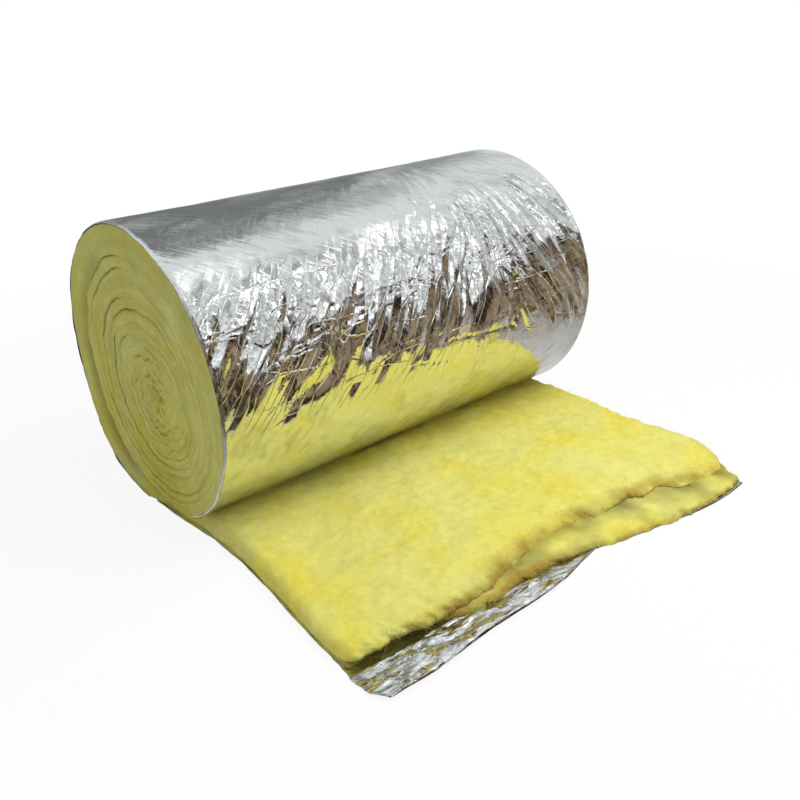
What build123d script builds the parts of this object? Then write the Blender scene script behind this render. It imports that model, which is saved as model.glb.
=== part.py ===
from build123d import *
import math
import os

# Foil-faced glass-wool blanket, half unwound from its roll.
#
# The blanket is wound with the foil outwards. Its free end, the tongue, comes out from under the roll and
# lies on the floor with the foil down and the wool up. The wool's front edge is torn into an upper and a
# lower layer, and the foil runs on past it and is folded back over itself.
#
# Frame: X along the roll, -Y the way the tongue runs, +Z up. The origin is on the floor under the roll's
# middle. All lengths are in millimetres.

# Driving dimensions of the blanket
roll_width = 1200.0
wool_thickness = 46.0
facing_thickness = 1.0

# The roll: half its depth and height where the outer turn starts, and what one turn takes off them
roll_half_depth = 393.0
roll_half_height = 370.0
turn_pitch = 24.0

# How the roll sags: what the floor presses flat, and where and how much its lower back fills out
floor_sag = 3.0
round_power = 2.0
sag_power = 0.85
sag_angle = math.radians(35)
sag_spread = math.radians(50)

# The inner coil on the ends: how thick the loose outer turn is around it, and the coil's own turns
outer_turn_at_front = 35.0
outer_turn_at_top = 62.0
outer_turn_at_back = 82.0
outer_turn_at_bottom = 12.0
outer_turn_wool = 55.0
coil_pitch = 36.0
core_radius = 62.0
groove_width = 6.0
groove_depth = 14.0
pocket_depth = 45.0
fold_lobes = 3
fold_depth_share = 0.2
fold_start_share = 0.45

# The tongue: how far its wool reaches from under the roll's middle, and its torn layers
tongue_reach = 840.0
lip_thickness = 16.0
wool_edge_radius = 14.0

# The folded hem of the foil: its height, and how far the folded strip comes back at its two ends
hem_height = 13.0
hem_left_width = 98.0
hem_right_width = 20.0

# Edges of the tongue seen from above, as (share of the roll's width, share of the tongue's reach)
upper_left_shares = ((-0.486, 0.30), (-0.492, 0.48), (-0.505, 0.65), (-0.521, 0.82), (-0.526, 0.92))
upper_front_shares = (
    (-0.500, 0.972), (-0.418, 0.960), (-0.320, 0.985), (-0.215, 1.008), (-0.140, 0.985),
    (-0.030, 0.992), (0.090, 0.955), (0.200, 0.990), (0.300, 1.040), (0.385, 1.058),
)
upper_right_shares = (
    (0.432, 1.030), (0.474, 0.968), (0.489, 0.860), (0.468, 0.750), (0.463, 0.654), (0.486, 0.50),
    (0.497, 0.326),
)
upper_join_share = 0.4930
lower_left_shares = ((-0.488, 0.30), (-0.494, 0.48), (-0.507, 0.65), (-0.520, 0.80), (-0.518, 0.89))
lower_front_shares = (
    (-0.480, 0.925), (-0.380, 0.935), (-0.250, 0.955), (-0.120, 0.968), (-0.020, 1.000),
    (0.067, 1.058), (0.184, 1.092), (0.310, 1.118), (0.375, 1.122),
)
lower_right_shares = (
    (0.414, 1.095), (0.434, 1.045), (0.476, 0.970), (0.491, 0.860), (0.470, 0.750), (0.465, 0.654),
    (0.488, 0.50), (0.4985, 0.326),
)
lower_join_share = 0.4945
facing_left_shares = (
    (-0.490, 0.30), (-0.496, 0.48), (-0.509, 0.65), (-0.524, 0.82), (-0.531, 0.95), (-0.532, 1.04),
)
fold_left_shares = (-0.514, 1.095)
fold_right_shares = (-0.092, 1.068)
facing_front_shares = ((0.000, 1.048), (0.067, 1.072), (0.184, 1.102), (0.310, 1.127), (0.380, 1.131))
facing_right_shares = (
    (0.420, 1.104), (0.440, 1.050), (0.479, 0.973), (0.494, 0.860), (0.473, 0.750), (0.468, 0.654),
    (0.490, 0.50), (0.4995, 0.326),
)
facing_join_share = 0.4960

# How finely the wound curves are drawn
points_per_turn = 20
points_per_coil_turn = 8
solve_steps = 60
straight_enough = 1e-6

centre_height = roll_half_height - floor_sag
tongue_top = facing_thickness + wool_thickness


def outer_turn_point(turns, inset=0.0):
    """A point of the blanket's outer face, so many turns from the floor: up the back, over, down the front."""
    angle = 2 * math.pi * turns
    shrink = 1 - turn_pitch * turns / roll_half_depth
    lean = math.remainder(angle - sag_angle, 2 * math.pi) / sag_spread
    power = round_power + sag_power * math.exp(-lean * lean)
    side, down = math.sin(angle), math.cos(angle)
    reach = (abs(side) ** power + abs(down) ** power) ** (-1 / power)
    depth = roll_half_depth * shrink - inset
    height = roll_half_height * shrink - inset
    return depth * reach * side, centre_height - height * reach * down


def turns_at_height(height, low, high):
    """Where between two turn counts the outer face is at this height above the floor."""
    rising = outer_turn_point(high)[1] > outer_turn_point(low)[1]
    for _ in range(solve_steps):
        middle = (low + high) / 2
        if (outer_turn_point(middle)[1] < height) == rising:
            low = middle
        else:
            high = middle
    return (low + high) / 2


def spread(start, end, per_turn):
    """Evenly spaced turn counts from start to end."""
    count = max(2, math.ceil((end - start) * per_turn))
    return [start + (end - start) * i / count for i in range(count + 1)]


def curve(points):
    """Edges of a smooth curve through points of a plane: two arcs a span, each running on from the last."""
    spots = [Vector(*point) for point in points]
    ends = [2 * spots[0] - spots[1], *spots, 2 * spots[-1] - spots[-2]]
    heading = [(after - before).normalized() for before, after in zip(ends, ends[2:])]
    edges = []
    for start, end, leave, arrive in zip(spots, spots[1:], heading, heading[1:]):
        gap = end - start
        turn = 1 - leave.dot(arrive)
        lean = gap.dot(leave + arrive)
        arm = gap.dot(gap) / (math.sqrt(lean * lean + 2 * turn * gap.dot(gap)) + lean)
        middle = (start + end + arm * (leave - arrive)) / 2
        across = (end - arm * arrive) - (start + arm * leave)
        edges += [arc(start, middle, leave), arc(middle, end, across)]
    return edges


def arc(start, end, heading):
    """An arc that leaves start with this heading, or a line where it would be straight."""
    if heading.normalized().cross((end - start).normalized()).length < straight_enough:
        return Line(start, end)
    return TangentArc(start, end, tangent=heading)


def outline(*runs):
    """The face inside runs of edges that follow each other, each closed up to the next by a straight line."""
    edges = []
    for run, following in zip(runs, [*runs[1:], runs[0]]):
        edges += run
        if (run[-1] @ 1 - following[0] @ 0).length > straight_enough:
            edges.append(Line(run[-1] @ 1, following[0] @ 0))
    return Face(Wire(edges))


def band(outer_points, inner_points):
    """The face between two curves that run side by side."""
    return outline(curve(outer_points), curve(inner_points[::-1]))


def along_roll(face):
    """A section of the roll, drawn as (Y, Z), pulled out to the roll's full width."""
    return Pos(-roll_width / 2, 0, 0) * extrude(Plane.YZ * face, amount=roll_width)


# Where the roll leaves the floor at the back, and where its foil comes down on the tongue at the front
lift_turns = turns_at_height(0.0, 0.0, 0.25)
touch_turns = turns_at_height(tongue_top, 0.75, 1.0)
join_y = outer_turn_point(touch_turns)[0]
lift_y = outer_turn_point(lift_turns)[0]


def plan_points(join_share, *tables):
    """Points of a layer's edge seen from above, from its join with the roll at the left round to the right."""
    shares = [pair for table in tables for pair in table]
    edge = [(across * roll_width, -along * tongue_reach) for across, along in shares]
    return [(-join_share * roll_width, join_y), *edge, (join_share * roll_width, join_y)]


def plan_face(join_share, *tables):
    """A layer's outline seen from above, closed along the join with the roll."""
    return outline(curve(plan_points(join_share, *tables)))


def softened(layer, top, radius):
    """A torn layer of wool with its free upper edge rounded off."""
    near = radius / 10
    rim = [e for e in layer.edges() if abs(e.center().Z - top) < near and e.center().Y < join_y - near]
    return fillet(rim, radius)


# The outer turn's foil: the stretch in the open, and the stretch tucked between the roll and the tongue
open_turns = spread(lift_turns, touch_turns, points_per_turn)
tucked_turns = spread(touch_turns, 1.0, points_per_turn)


def facing_section():
    """The foil round the outer turn and under the roll, back to the join with the tongue."""
    wrapped, tucked = (
        band([outer_turn_point(t) for t in turns], [outer_turn_point(t, facing_thickness) for t in turns])
        for turns in (open_turns, tucked_turns)
    )
    lift = outer_turn_point(lift_turns, facing_thickness)
    strip = Polyline((join_y, 0), (lift_y, 0), lift, (join_y, facing_thickness), close=True)
    return wrapped + tucked + make_face(strip)


def wool_section():
    """The wound wool inside the foil, with the slit where the foil is tucked in above the tongue."""
    outside = curve([outer_turn_point(t, facing_thickness) for t in open_turns])
    above = curve([outer_turn_point(t, facing_thickness) for t in tucked_turns])
    below = curve([outer_turn_point(t) for t in reversed(tucked_turns)])
    floor = Line((join_y, facing_thickness), outside[0] @ 0)
    return outline(outside, above, below, [floor])


# The inner coil's size and middle, from what the loose outer turn leaves of the roll
roll_back = outer_turn_point(0.25)[0]
roll_top = outer_turn_point(0.5)[1]
roll_front = outer_turn_point(0.75)[0]
coil_back = roll_back - outer_turn_at_back
coil_front = roll_front + outer_turn_at_front
coil_top = roll_top - outer_turn_at_top
coil_bottom = outer_turn_point(1.0)[1] + outer_turn_at_bottom
coil_half_depth = (coil_back - coil_front) / 2
coil_half_height = (coil_top - coil_bottom) / 2
coil_y = (coil_back + coil_front) / 2
coil_z = (coil_top + coil_bottom) / 2
coil_turns = math.floor((min(coil_half_depth, coil_half_height) - core_radius) / coil_pitch)


def coil_point(turns, inset=0.0):
    """A point between two turns of the inner coil, whose turns buckle into folds towards the core."""
    angle = 2 * math.pi * turns
    depth = coil_half_depth - coil_pitch * turns - inset
    height = coil_half_height - coil_pitch * turns - inset
    buckled = max(0.0, turns / coil_turns - fold_start_share) / (1 - fold_start_share)
    fold = 1 + fold_depth_share * buckled * math.cos(fold_lobes * angle)
    return coil_y + depth * fold * math.sin(angle), coil_z - height * fold * math.cos(angle)


def coil_groove():
    """The spiral line between the inner turns, as it shows on an end of the roll."""
    wound = spread(0.0, float(coil_turns), points_per_coil_turn)
    return band([coil_point(t) for t in wound], [coil_point(t, groove_width) for t in wound])


def slack_pocket():
    """The crescent that stays open behind the coil, where the outer turn hangs loose."""
    wound = spread(lift_turns, 1.0, points_per_turn)
    inside = outline(curve([outer_turn_point(t, outer_turn_wool) for t in wound]))
    coil = Pos(coil_y, coil_z) * Ellipse(coil_half_depth, coil_half_height)
    behind = Pos(coil_y + roll_half_depth, coil_z) * Rectangle(2 * roll_half_depth, 2 * roll_half_height)
    return max(((inside - coil) & behind).faces(), key=lambda face: face.area)


def on_both_ends(face, depth):
    """A cut of this depth into both ends of the roll."""
    cut = extrude(Plane.YZ * face, amount=depth)
    return [Pos(-roll_width / 2, 0, 0) * cut, Pos(roll_width / 2 - depth, 0, 0) * cut]


def make_wool():
    """The wool: the roll, and the tongue with its torn upper and lower layers."""
    wool = along_roll(wool_section())
    for cut in on_both_ends(coil_groove(), groove_depth) + on_both_ends(slack_pocket(), pocket_depth):
        wool -= cut
    lip_top = facing_thickness + lip_thickness
    lower_plan = plan_face(lower_join_share, lower_left_shares, lower_front_shares, lower_right_shares)
    lower = Pos(0, 0, facing_thickness) * extrude(lower_plan, amount=lip_thickness)
    upper_plan = plan_face(upper_join_share, upper_left_shares, upper_front_shares, upper_right_shares)
    upper = Pos(0, 0, lip_top) * extrude(upper_plan, amount=tongue_top - lip_top)
    upper = softened(upper, tongue_top, wool_edge_radius)
    return wool + lower + upper


def folded_hem():
    """The strip of foil folded back over the flap: a round fold along the front and a top layer that tapers."""
    left = Vector(fold_left_shares[0] * roll_width, -fold_left_shares[1] * tongue_reach)
    right = Vector(fold_right_shares[0] * roll_width, -fold_right_shares[1] * tongue_reach)
    along = right - left
    radius = hem_height / 2
    ring = Circle(radius) - Circle(radius - facing_thickness)
    bend = Pos(0, radius) * (ring & Pos(-radius, 0) * Rectangle(hem_height, 2 * hem_height))
    strip_end = Rectangle(hem_left_width, facing_thickness, align=(Align.MIN, Align.MIN))
    top = Pos(0, hem_height - facing_thickness) * strip_end
    section = Plane(left, x_dir=Vector(0, 0, 1).cross(along), z_dir=along) * (bend + top)
    strip = extrude(section, amount=along.length)
    taper = make_face(Polyline(
        (0, -hem_height), (along.length, -hem_height), (along.length, hem_right_width), (0, hem_left_width),
        close=True,
    ))
    floor = Plane(left, x_dir=along, z_dir=(0, 0, 1))
    return strip & extrude(floor * taper, amount=hem_height)


def make_facing():
    """The foil: wrapped round the outer turn, under the tongue, and on past the wool as a folded flap."""
    left_fold = (fold_left_shares[0] * roll_width, -fold_left_shares[1] * tongue_reach)
    side = curve([*plan_points(facing_join_share, facing_left_shares)[:-1], left_fold])
    front_tables = (fold_right_shares,), facing_front_shares, facing_right_shares
    front = curve(plan_points(facing_join_share, *front_tables)[1:])
    sheet = extrude(outline(side, front), amount=facing_thickness)
    return along_roll(facing_section()) + sheet + folded_hem()


os.makedirs("parts", exist_ok=True)
export_step(make_wool(), "parts/wool_blanket.step")
export_step(make_facing(), "parts/foil_facing.step")
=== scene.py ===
"""A roll of foil-faced glass wool, half unwound on the floor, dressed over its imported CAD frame."""

import math

import bpy
import numpy as np
from mathutils import Matrix, Vector


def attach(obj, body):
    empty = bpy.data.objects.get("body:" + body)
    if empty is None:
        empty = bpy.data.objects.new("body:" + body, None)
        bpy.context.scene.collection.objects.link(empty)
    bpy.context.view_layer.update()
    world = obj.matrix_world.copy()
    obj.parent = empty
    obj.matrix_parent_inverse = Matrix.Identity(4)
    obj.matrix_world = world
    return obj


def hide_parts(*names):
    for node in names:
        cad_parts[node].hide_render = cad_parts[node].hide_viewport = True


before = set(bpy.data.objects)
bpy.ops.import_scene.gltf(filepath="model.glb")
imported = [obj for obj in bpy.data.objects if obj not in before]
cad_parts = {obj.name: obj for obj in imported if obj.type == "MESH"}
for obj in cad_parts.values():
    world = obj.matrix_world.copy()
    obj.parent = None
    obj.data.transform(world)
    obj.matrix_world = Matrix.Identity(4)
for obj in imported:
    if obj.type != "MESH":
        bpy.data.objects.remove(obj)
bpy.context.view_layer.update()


# The foil round the outer turn: thin aluminium laminated to scrim and glued to the wool as it was wound.
# Handling has creased it: sharp folds and facets on the front, a smoother back, top and underside.
roll_half_width = 0.600
half_depth, half_height = 0.393, 0.370
turn_pitch, floor_sag, floor_gap = 0.024, 0.003, 0.0006
round_power, sag_power = 2, 0.85
sag_angle, sag_spread = math.radians(35), math.radians(50)
lift_turns, tuck_turns = 0.034, 0.968
crease_from, crease_worst, crease_to, fold_turns = 0.600, 0.700, 0.800, 0.69
crease_leans = np.array(((-0.60, 130), (-0.10, 122), (0.18, 112), (0.38, 66), (0.60, 58)))
row_steps = ((0.40, 0.0160), (0.56, 0.0080), (0.81, 0.0046), (tuck_turns, 0.0080))
column_step, grid_jitter, rim_width = 0.0040, 0.36, 0.010


def outer_turn(turns, inset=0.0):
    """The blanket's outer face (y, z) after so many turns from the floor: up the back, over, down the front."""
    angle = 2 * np.pi * turns
    shrink = 1 - turn_pitch * turns / half_depth
    lean = ((angle - sag_angle + np.pi) % (2 * np.pi) - np.pi) / sag_spread
    power = round_power + sag_power * np.exp(-lean * lean)
    side, down = np.sin(angle), np.cos(angle)
    reach = (np.abs(side) ** power + np.abs(down) ** power) ** (-1 / power)
    y = (half_depth * shrink - inset) * reach * side
    z = half_height - floor_sag - (half_height * shrink - inset) * reach * down
    return y, z


def hills(u, v, seed, octaves=3):
    """Smooth random hills, about -1 to 1, one to each unit of u and v, with smaller ones on them."""
    lattice = np.random.default_rng(seed).uniform(-1, 1, (256, 256))
    total, weight = 0.0, 1.0
    for _ in range(octaves):
        iu, iv = np.floor(u).astype(int), np.floor(v).astype(int)
        fu, fv = u - iu, v - iv
        fu, fv = fu * fu * (3 - 2 * fu), fv * fv * (3 - 2 * fv)
        near = lattice[iu % 256, iv % 256] * (1 - fu) + lattice[(iu + 1) % 256, iv % 256] * fu
        far = lattice[iu % 256, (iv + 1) % 256] * (1 - fu) + lattice[(iu + 1) % 256, (iv + 1) % 256] * fu
        total = total + weight * (near * (1 - fv) + far * fv)
        u, v, weight = u * 2.03 + 17.3, v * 2.03 + 5.7, weight * 0.5
    return total


def facets(u, v, seed):
    """Crumpled facets, -1 to 1: flat triangles on a lattice of random heights, split by chance and knocked askew."""
    rng = np.random.default_rng(seed)
    level = rng.uniform(-1, 1, (128, 128))
    falling = rng.random((128, 128)) < 0.5
    u, v = u + 0.42 * hills(u * 0.8, v * 0.8, seed + 1, 2), v + 0.42 * hills(u * 0.8 + 40, v * 0.8, seed + 2, 2)
    iu, iv = np.floor(u).astype(int), np.floor(v).astype(int)
    fu, fv = u - iu, v - iv
    a, b = level[iu % 128, iv % 128], level[(iu + 1) % 128, iv % 128]
    c, d = level[iu % 128, (iv + 1) % 128], level[(iu + 1) % 128, (iv + 1) % 128]
    rising_split = np.where(fu > fv, a + (b - a) * fu + (d - b) * fv, a + (c - a) * fv + (d - c) * fu)
    falling_split = np.where(
        fu + fv < 1, a + (b - a) * fu + (c - a) * fv, d + (c - d) * (1 - fu) + (b - d) * (1 - fv))
    return np.where(falling[iu % 128, iv % 128], falling_split, rising_split)


def long_folds(u, v, count, seed, centre, spread, lean, length, width):
    """Straight folds of a given lean, each a tent that tapers out at its ends."""
    rng = np.random.default_rng(seed)
    height = np.zeros(np.shape(u))
    for _ in range(count):
        across = rng.uniform(-1, 1) * spread[0] + centre[0] - u
        along = rng.uniform(-1, 1) * spread[1] + centre[1] - v
        angle = lean[0] + lean[1] * rng.normal()
        run = across * math.sin(angle) + along * math.cos(angle)
        off = across * math.cos(angle) - along * math.sin(angle)
        reach, half = length * rng.uniform(0.4, 1.3), width * rng.uniform(0.7, 1.4)
        tent = np.clip(1 - np.abs(off) / half, 0, 1) * np.clip(1 - (run / reach) ** 2, 0, 1)
        height += tent * half * rng.choice((-1, 1)) * rng.uniform(0.12, 0.26)
    return height


def creased_mesh(name, points, seed, sharp=0, flat=None, creases=None, closed=False):
    """A mesh over a grid of points, each square split along a diagonal picked by chance, with sharp creases.

    flat holds where each point lies on the sheet before it was bent, and creases how creased the sheet is there.
    A closed mesh has a flat face across its open side.
    """
    rows, cols = points.shape[:2]
    index = np.arange(rows * cols).reshape(rows, cols)
    a, b = index[:-1, :-1].ravel(), index[:-1, 1:].ravel()
    c, d = index[1:, 1:].ravel(), index[1:, :-1].ravel()
    flip = (np.random.default_rng(seed).random(len(a)) < 0.5)[:, None]
    first = np.where(flip, np.stack((a, b, c), 1), np.stack((a, b, d), 1))
    second = np.where(flip, np.stack((a, c, d), 1), np.stack((b, c, d), 1))
    faces = np.concatenate((first, second))
    mesh = bpy.data.meshes.new(name)
    border = np.concatenate((index[0, :-1], index[:-1, -1], index[-1, :0:-1], index[:0:-1, 0]))[::-1].tolist()
    mesh.from_pydata(points.reshape(-1, 3).tolist(), [], faces.tolist() + ([border] if closed else []))
    mesh.shade_smooth()
    if sharp:
        mesh.set_sharp_from_angle(angle=math.radians(sharp))
    if flat is not None:
        mesh.uv_layers.new(name="flat").data.foreach_set("uv", flat.reshape(-1, 2)[faces.ravel()].ravel())
    if creases is not None:
        mesh.attributes.new("creases", "FLOAT", "POINT").data.foreach_set("value", creases.ravel())
    return mesh


def piece(name, mesh, material, node):
    """A new piece of the part that stands for a CAD node."""
    made = bpy.data.objects.new(name, mesh)
    bpy.context.scene.collection.objects.link(made)
    mesh.materials.append(material)
    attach(made, "root")
    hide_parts(node)
    return made


foil = bpy.data.materials.new("foil")
foil.use_nodes = True
tree = foil.node_tree
add_node, link = tree.nodes.new, tree.links.new
shader = tree.nodes["Principled BSDF"]
shader.inputs["Metallic"].default_value = 1.0
place = add_node("ShaderNodeTexCoord")
# A faint haze, and streaks that darken the metal a little
haze = add_node("ShaderNodeTexNoise")
haze.inputs["Scale"].default_value = 9.0
haze.inputs["Detail"].default_value = 6.0
streaked = add_node("ShaderNodeMath")
streaked.operation = "MULTIPLY_ADD"
streaked.inputs[1].default_value = 1.0
tint = add_node("ShaderNodeValToRGB")
tint.color_ramp.elements[0].position = 0.75
tint.color_ramp.elements[0].color = (0.68, 0.69, 0.69, 1)
tint.color_ramp.elements[1].position = 1.0
tint.color_ramp.elements[1].color = (0.86, 0.87, 0.87, 1)
polish = add_node("ShaderNodeMapRange")
polish.inputs["From Min"].default_value = 0.3
polish.inputs["From Max"].default_value = 0.7
polish.inputs["To Min"].default_value = 0.13
polish.inputs["To Max"].default_value = 0.05
crease_mask = add_node("ShaderNodeAttribute")
crease_mask.attribute_name = "creases"
# Flat facets: each cell of a drawn-out pattern leans its own way, with a fine crest where two cells meet
bent = None
for angle, cell, lift in ((0.0, (0.105, 0.020), 0.0115), (1.15, (0.060, 0.016), 0.0008)):
    turned = add_node("ShaderNodeMapping")
    turned.inputs["Rotation"].default_value = (0.0, 0.0, angle)
    sized = add_node("ShaderNodeMapping")
    sized.inputs["Scale"].default_value = (1 / cell[0], 1 / cell[1], 1.0)
    cells = add_node("ShaderNodeTexVoronoi")
    cells.voronoi_dimensions = "2D"
    cells.inputs["Scale"].default_value = 1.0
    from_middle = add_node("ShaderNodeVectorMath")
    from_middle.operation = "SUBTRACT"
    tilt = add_node("ShaderNodeVectorMath")
    tilt.operation = "MULTIPLY_ADD"
    tilt.inputs[1].default_value = (2.8, 1.0, 0.0)
    tilt.inputs[2].default_value = (-1.4, -0.5, 0.0)
    plane = add_node("ShaderNodeVectorMath")
    plane.operation = "DOT_PRODUCT"
    border = add_node("ShaderNodeTexVoronoi")
    border.voronoi_dimensions = "2D"
    border.feature = "DISTANCE_TO_EDGE"
    border.inputs["Scale"].default_value = 1.0
    crest = add_node("ShaderNodeMapRange")
    crest.inputs["From Max"].default_value = 0.055
    crest.inputs["To Min"].default_value = 0.050
    crest.inputs["To Max"].default_value = 0.0
    crested = add_node("ShaderNodeMath")
    crested.operation = "ADD"
    masked = add_node("ShaderNodeMath")
    masked.operation = "MULTIPLY"
    bump = add_node("ShaderNodeBump")
    bump.inputs["Strength"].default_value = 1.0
    bump.inputs["Distance"].default_value = lift
    link(place.outputs["UV"], turned.inputs["Vector"])
    link(turned.outputs["Vector"], sized.inputs["Vector"])
    link(sized.outputs["Vector"], cells.inputs["Vector"])
    link(sized.outputs["Vector"], from_middle.inputs[0])
    link(cells.outputs["Position"], from_middle.inputs[1])
    link(cells.outputs["Color"], tilt.inputs[0])
    link(from_middle.outputs["Vector"], plane.inputs[0])
    link(tilt.outputs["Vector"], plane.inputs[1])
    link(sized.outputs["Vector"], border.inputs["Vector"])
    link(border.outputs["Distance"], crest.inputs["Value"])
    link(plane.outputs["Value"], crested.inputs[0])
    link(crest.outputs["Result"], crested.inputs[1])
    link(crested.outputs["Value"], masked.inputs[0])
    link(crease_mask.outputs["Fac"], masked.inputs[1])
    link(masked.outputs["Value"], bump.inputs["Height"])
    if bent:
        link(bent.outputs["Normal"], bump.inputs["Normal"])
    bent = bump
# Fine slanting scratches
scratches = add_node("ShaderNodeTexNoise")
scratches.inputs["Scale"].default_value = 1.0
scratches.inputs["Detail"].default_value = 3.0
slanted = add_node("ShaderNodeMapping")
slanted.inputs["Rotation"].default_value = (0.0, 0.0, 0.62)
streak = add_node("ShaderNodeMapping")
streak.inputs["Scale"].default_value = (9.0, 85.0, 30.0)
relief = add_node("ShaderNodeBump")
relief.inputs["Strength"].default_value = 0.5
relief.inputs["Distance"].default_value = 0.0016
# Thin raised ridges, here and there
drawn_out = add_node("ShaderNodeMapping")
drawn_out.inputs["Rotation"].default_value = (0.0, 0.35, 0.25)
drawn_out.inputs["Scale"].default_value = (2.2, 17.0, 17.0)
cracks = add_node("ShaderNodeTexVoronoi")
cracks.feature = "DISTANCE_TO_EDGE"
cracks.inputs["Scale"].default_value = 1.0
ridge = add_node("ShaderNodeMapRange")
ridge.inputs["From Max"].default_value = 0.020
ridge.inputs["To Min"].default_value = 1.0
ridge.inputs["To Max"].default_value = 0.0
here_and_there = add_node("ShaderNodeMapRange")
here_and_there.inputs["From Min"].default_value = 0.50
here_and_there.inputs["From Max"].default_value = 0.60
ridge_part = add_node("ShaderNodeMath")
ridge_part.operation = "MULTIPLY"
ridge_mask = add_node("ShaderNodeMath")
ridge_mask.operation = "MULTIPLY"
ridges = add_node("ShaderNodeBump")
ridges.inputs["Strength"].default_value = 1.0
ridges.inputs["Distance"].default_value = 0.0007
link(place.outputs["Object"], drawn_out.inputs["Vector"])
link(drawn_out.outputs["Vector"], cracks.inputs["Vector"])
link(cracks.outputs["Distance"], ridge.inputs["Value"])
link(haze.outputs["Fac"], here_and_there.inputs["Value"])
link(ridge.outputs["Result"], ridge_part.inputs[0])
link(here_and_there.outputs["Result"], ridge_part.inputs[1])
link(ridge_part.outputs["Value"], ridge_mask.inputs[0])
link(crease_mask.outputs["Fac"], ridge_mask.inputs[1])
link(ridge_mask.outputs["Value"], ridges.inputs["Height"])
link(bent.outputs["Normal"], ridges.inputs["Normal"])
link(place.outputs["Object"], haze.inputs["Vector"])
link(place.outputs["Object"], slanted.inputs["Vector"])
link(slanted.outputs["Vector"], streak.inputs["Vector"])
link(streak.outputs["Vector"], scratches.inputs["Vector"])
link(scratches.outputs["Fac"], relief.inputs["Height"])
link(ridges.outputs["Normal"], relief.inputs["Normal"])
link(scratches.outputs["Fac"], streaked.inputs[0])
link(haze.outputs["Fac"], streaked.inputs[2])
link(streaked.outputs["Value"], tint.inputs["Fac"])
link(haze.outputs["Fac"], polish.inputs["Value"])
# The raw cut edge is dark: partly its own brown, partly painted shadow of the thin gap where the folded-back edge lies
# on the sheet
cut_edge_and_shadow = add_node("ShaderNodeAttribute")
cut_edge_and_shadow.attribute_name = "cut_edge_and_shadow"
dark_edge_and_shadow = add_node("ShaderNodeMix")
dark_edge_and_shadow.data_type = "RGBA"
dark_edge_and_shadow.inputs["B"].default_value = (0.045, 0.038, 0.028, 1)
link(tint.outputs["Color"], dark_edge_and_shadow.inputs["A"])
link(cut_edge_and_shadow.outputs["Fac"], dark_edge_and_shadow.inputs["Factor"])
link(dark_edge_and_shadow.outputs["Result"], shader.inputs["Base Color"])
link(polish.outputs["Result"], shader.inputs["Roughness"])
link(relief.outputs["Normal"], shader.inputs["Normal"])

fine = np.linspace(lift_turns, tuck_turns, 4000)
fine_y, fine_z = outer_turn(fine)
fine_run = np.concatenate(([0], np.cumsum(np.hypot(np.diff(fine_y), np.diff(fine_z)))))
rows = [0.0]
for turns_end, step in row_steps:
    run_end = np.interp(turns_end, fine, fine_run)
    rows.extend(np.linspace(rows[-1], run_end, round((run_end - rows[-1]) / step) + 1)[1:])
rows = np.array(rows)
columns = np.linspace(-roll_half_width, roll_half_width, round(2 * roll_half_width / column_step) + 1)
chance = np.random.default_rng(11)
run, across = np.meshgrid(rows, columns, indexing="ij")
inner = np.ones(run.shape)
inner[[0, -1], :] = 0
inner[:, [0, -1]] = 0
row_gap = np.gradient(rows)[:, None]
run = run + inner * row_gap * chance.uniform(-grid_jitter, grid_jitter, run.shape)
across = across + inner * column_step * chance.uniform(-grid_jitter, grid_jitter, run.shape)
turns = np.interp(run, fine_run, fine)

# Where the foil is creased, and how strongly
wander = turns + 0.018 * hills(across * 4.5, run * 4.5, 3)
crease_top = crease_from - 0.055 * np.clip((across + 0.10) / 0.40, 0, 1)
creased = np.clip((wander - crease_top) / 0.060, 0, 1) * np.clip((crease_to - wander) / 0.045, 0, 1)
worst = np.exp(-((turns - crease_worst) / 0.050) ** 2)
low_front = 0.10 * np.clip((turns - 0.78) / 0.02, 0, 1)
on_top = 0.10 * np.exp(-((turns - 0.52) / 0.06) ** 2)
behind = 0.30 * (turns < 0.40)
strength = 0.04 + low_front + (0.80 + 0.50 * worst) * creased + on_top + behind
strength = strength * (0.3 + 0.7 * np.clip((roll_half_width - np.abs(across)) / 0.05, 0, 1))
# The creases lean one way on the left of the roll and the other way on its right
fold_middle = np.interp(fold_turns, fine, fine_run)
lean_at = np.linspace(-0.65, 0.65, 400)
lean = np.radians(np.interp(lean_at, crease_leans[:, 0], crease_leans[:, 1]))
lean_step = lean_at[1] - lean_at[0]
over = np.interp(across, lean_at, np.cumsum(np.cos(lean)) * lean_step)
under = np.interp(across, lean_at, np.cumsum(np.sin(lean)) * lean_step)
lean = np.interp(across, lean_at, lean)
long_way = over + (run - fold_middle) * np.sin(lean) + 0.012 * hills(across * 7, run * 7, 6, 2)
short_way = (run - fold_middle) * np.cos(lean) - under + 0.012 * hills(across * 7, run * 7, 7, 2)
# Crumpled facets, slow waves and long folds
height = 0.0
for lift, long_side, short_side, seed in ((0.0052, 0.120, 0.048, 21), (0.0022, 0.080, 0.020, 24)):
    height = height + lift * facets(long_way / long_side, short_way / short_side, seed)
height = height * strength
height += 0.0030 * hills(across * 3.1, run * 3.1, 5, 2)
for count, seed, middle, spread, way, length, width in (
        (46, 31, 0.0, 0.60, (-1.54, 0.10), 0.150, 0.0055), (70, 32, -0.15, 0.45, (-0.60, 0.25), 0.055, 0.0080),
        (36, 33, 0.40, 0.22, (0.45, 0.22), 0.070, 0.0100)):
    height += (0.15 + 0.85 * creased) * long_folds(
        across, run, count, seed, (middle, fold_middle), (spread, 0.30), way, length, width)
rim = np.clip((roll_half_width - np.abs(across)) / rim_width, 0, 1)
height = 0.001 + height * (0.3 + 0.7 * rim) - 0.003 * (1 - rim) ** 2
across = across + np.sign(across) * (1 - rim) * (
    0.0018 * hills(run * 22, across * 0 + 3, 9) - 0.0016 - 0.008 * np.clip((turns - 0.90) / 0.03, 0, 1))
slope_y = np.gradient(fine_y, fine_run)
slope_z = np.gradient(fine_z, fine_run)
out_y = np.interp(run, fine_run, slope_z)
out_z = -np.interp(run, fine_run, slope_y)
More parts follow.
